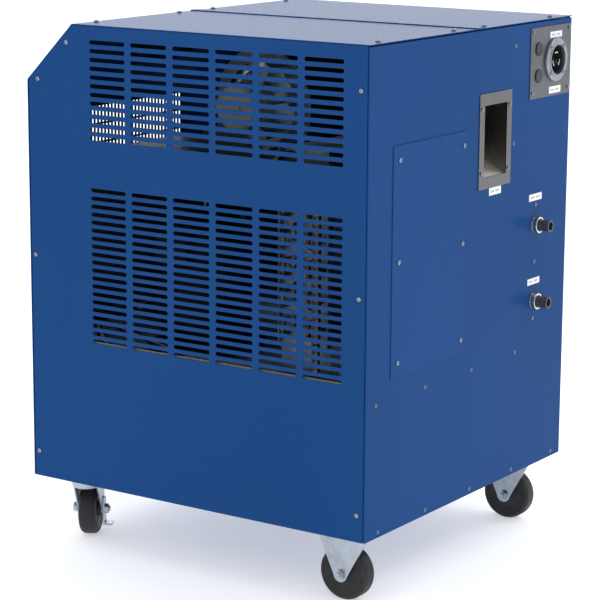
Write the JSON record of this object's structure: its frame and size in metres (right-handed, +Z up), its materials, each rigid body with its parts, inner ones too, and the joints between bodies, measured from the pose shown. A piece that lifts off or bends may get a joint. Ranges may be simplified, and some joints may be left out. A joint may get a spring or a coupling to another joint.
{
  "type": "dehumidifier",
  "caption": "Portable industrial dehumidifier: a sheet-steel cabinet on rigid and swivel casters, with slotted sides, a service recess, drain stubs and a flanged power inlet.",
  "frame": {"origin": "centre of the whole machine's footprint, on the floor", "axes": "+Z up, +Y towards the rear utility panel with the power inlet and pipe stubs, +X towards the right slotted side panel, -Y towards the sloped control panel"},
  "size_m": [0.6928, 0.7494, 0.9541],
  "materials": {
    "cabinet_paint": "gloss powder coat",
    "stainless": "brushed",
    "zinc": "bright zinc plate",
    "fastener_zinc": "zinc plate",
    "inlet_casting": "satin",
    "black_plastic": "matte",
    "red_plastic": "gloss",
    "nickel": "satin nickel",
    "bronze": "aged",
    "label_white": "gloss",
    "galvanised": "galvanised",
    "shell_beige": "satin",
    "fin_aluminium": "satin",
    "copper": "drawn tube",
    "compressor_black": "gloss",
    "filter_mat": "woven",
    "wheel_rubber": "moulded"
  },
  "bodies": {
    "cabinet": {"base_tray": "cabinet_paint", "side_panel_right": "cabinet_paint", "side_panel_left": "cabinet_paint", "rear_panel": "cabinet_paint", "front_panel": "cabinet_paint", "control_panel": "cabinet_paint", "top_panel_right": "cabinet_paint", "top_panel_left": "cabinet_paint", "access_cover": "cabinet_paint", "frame_posts": "galvanised", "partitions": "galvanised", "blower_deck": "galvanised", "coil_end_plates": "galvanised", "blower_housing": "galvanised", "drain_pan": "shell_beige", "blower_motor": "shell_beige", "recess_box": "stainless", "power_plate": "stainless", "inlet_flange": "inlet_casting", "run_capacitor": "inlet_casting", "inlet_insert": "black_plastic", "hole_plugs": "black_plastic", "contactor": "black_plastic", "condensate_pump": "black_plastic", "humidistat_body": "black_plastic", "switch_bezel": "black_plastic", "hour_meter": "black_plastic", "inlet_blades": "nickel", "drain_collars": "nickel", "drain_stubs": "bronze", "label_plates": "label_white", "panel_screws": "fastener_zinc", "cover_screws": "fastener_zinc", "plate_screws": "fastener_zinc", "rear_rivets": "fastener_zinc", "caster_bolts": "zinc", "rigid_forks": "zinc", "rigid_axles": "zinc", "swivel_plates": "zinc", "evaporator_fins": "fin_aluminium", "condenser_fins": "fin_aluminium", "coil_bends": "copper", "coil_headers": "copper", "refrigerant_lines": "copper", "compressor": "compressor_black", "air_filter": "filter_mat"},
    "rear_wheel_right": {"rear_wheel_right": "wheel_rubber"},
    "rear_wheel_left": {"rear_wheel_left": "wheel_rubber"},
    "swivel_right": {"swivel_fork_right": "zinc", "swivel_axle_right": "zinc"},
    "swivel_left": {"swivel_fork_left": "zinc", "swivel_axle_left": "zinc"},
    "front_wheel_right": {"front_wheel_right": "wheel_rubber"},
    "front_wheel_left": {"front_wheel_left": "wheel_rubber"},
    "brake_right": {"brake_lever_right": "zinc"},
    "brake_left": {"brake_lever_left": "zinc"},
    "fan": {"blower_wheel": "fin_aluminium"},
    "knob": {"humidistat_knob": "black_plastic"},
    "rocker": {"switch_rocker": "red_plastic"},
    "button": {"purge_button": "red_plastic"}
  },
  "joints": [
    {"name": "rear_wheel_right_spin", "type": "hinge", "parent": "cabinet", "child": "rear_wheel_right", "pos_m": [0.283, 0.2692, 0.0475], "axis": [1, 0, 0], "continuous": true},
    {"name": "swivel_right_turn", "type": "hinge", "parent": "cabinet", "child": "swivel_right", "pos_m": [0.283, -0.3008, 0.115], "axis": [0, 0, 1], "continuous": true},
    {"name": "front_wheel_right_spin", "type": "hinge", "parent": "swivel_right", "child": "front_wheel_right", "pos_m": [0.25064, -0.31658, 0.0475], "axis": [0.4384, -0.8988, 0], "continuous": true},
    {"name": "brake_right_press", "type": "hinge", "parent": "swivel_right", "child": "brake_right", "pos_m": [0.25064, -0.31658, 0.0475], "axis": [0.4384, -0.8988, 0], "range_deg": [0, 28]},
    {"name": "rear_wheel_left_spin", "type": "hinge", "parent": "cabinet", "child": "rear_wheel_left", "pos_m": [-0.283, 0.2692, 0.0475], "axis": [1, 0, 0], "continuous": true},
    {"name": "swivel_left_turn", "type": "hinge", "parent": "cabinet", "child": "swivel_left", "pos_m": [-0.283, -0.3008, 0.115], "axis": [0, 0, 1], "continuous": true},
    {"name": "front_wheel_left_spin", "type": "hinge", "parent": "swivel_left", "child": "front_wheel_left", "pos_m": [-0.25064, -0.31658, 0.0475], "axis": [0.4384, 0.8988, 0], "continuous": true},
    {"name": "brake_left_press", "type": "hinge", "parent": "swivel_left", "child": "brake_left", "pos_m": [-0.25064, -0.31658, 0.0475], "axis": [0.4384, 0.8988, 0], "range_deg": [0, 28]},
    {"name": "fan_spin", "type": "hinge", "parent": "cabinet", "child": "fan", "pos_m": [0.09, 0.0092, 0.815], "axis": [1, 0, 0], "continuous": true},
    {"name": "humidity_knob_turn", "type": "hinge", "parent": "cabinet", "child": "knob", "pos_m": [-0.07, -0.32105, 0.89925], "axis": [0, -0.7071, 0.7071], "range_deg": [-270, 0]},
    {"name": "power_switch_rock", "type": "hinge", "parent": "cabinet", "child": "rocker", "pos_m": [0.02, -0.31822, 0.89642], "axis": [1, 0, 0], "range_deg": [-12, 0]},
    {"name": "purge_button_press", "type": "slide", "parent": "cabinet", "child": "button", "axis": [0, 0.7071, -0.7071], "range_m": [0, 0.003], "stiffness_N_per_m": 300, "springref_m": -0.001}
  ]
}
